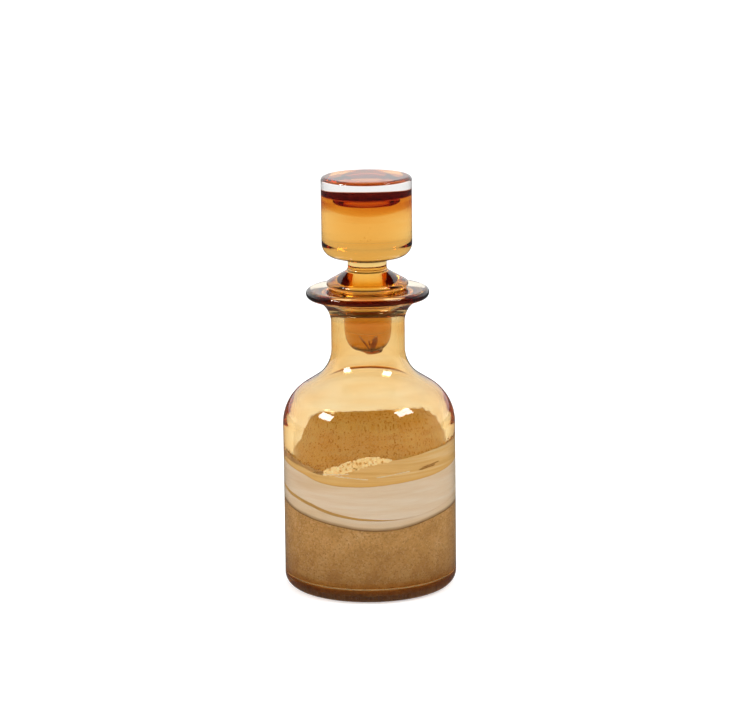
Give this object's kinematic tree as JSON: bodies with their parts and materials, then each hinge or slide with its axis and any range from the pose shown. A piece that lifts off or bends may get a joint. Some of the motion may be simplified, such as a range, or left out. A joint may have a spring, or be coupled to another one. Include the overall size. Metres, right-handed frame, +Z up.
{
  "type": "stoppered glass bottle",
  "caption": "Blown amber glass bottle with a cased body, trapped bands of sand coloured, white and ochre glass, a flared lip and a loose solid stopper.",
  "frame": {"origin": "middle of the foot, on the table", "axes": "+Z up along the bottle's axis, -Y towards the side that the picture shows"},
  "size_m": [0.1, 0.1, 0.24],
  "materials": {
    "clear_glass": "fire polished",
    "amber_glass": "fire polished",
    "sand_frit": "opaque grains in glass",
    "white_glass": "opal, under clear glass",
    "ochre_glass": "opaque, under clear glass",
    "thread_glass": "opaque, under clear glass",
    "gold_frit": "coarse grains in glass",
    "stopper_glass": "fire polished",
    "deep_amber_glass": "deep colour inside clear glass",
    "dark_glass": "dense colour inside clear glass"
  },
  "bodies": {
    "bottle": {"clear_casing": "clear_glass", "amber_gather": "amber_glass", "lip": "amber_glass", "sand_layer": "sand_frit", "white_band": "white_glass", "ochre_swirl": "ochre_glass", "amber_thread": "thread_glass", "gold_frit": "gold_frit"},
    "stopper": {"knob_casing": "clear_glass", "knob_core": "stopper_glass", "dark_gather": "deep_amber_glass", "dark_skin": "dark_glass", "stopper_shank": "stopper_glass", "pontil_scar": "stopper_glass"}
  },
  "joints": [
    {"name": "stopper_lift", "type": "slide", "parent": "bottle", "child": "stopper", "axis": [0, 0, 1], "range_m": [0, 0.06]}
  ]
}
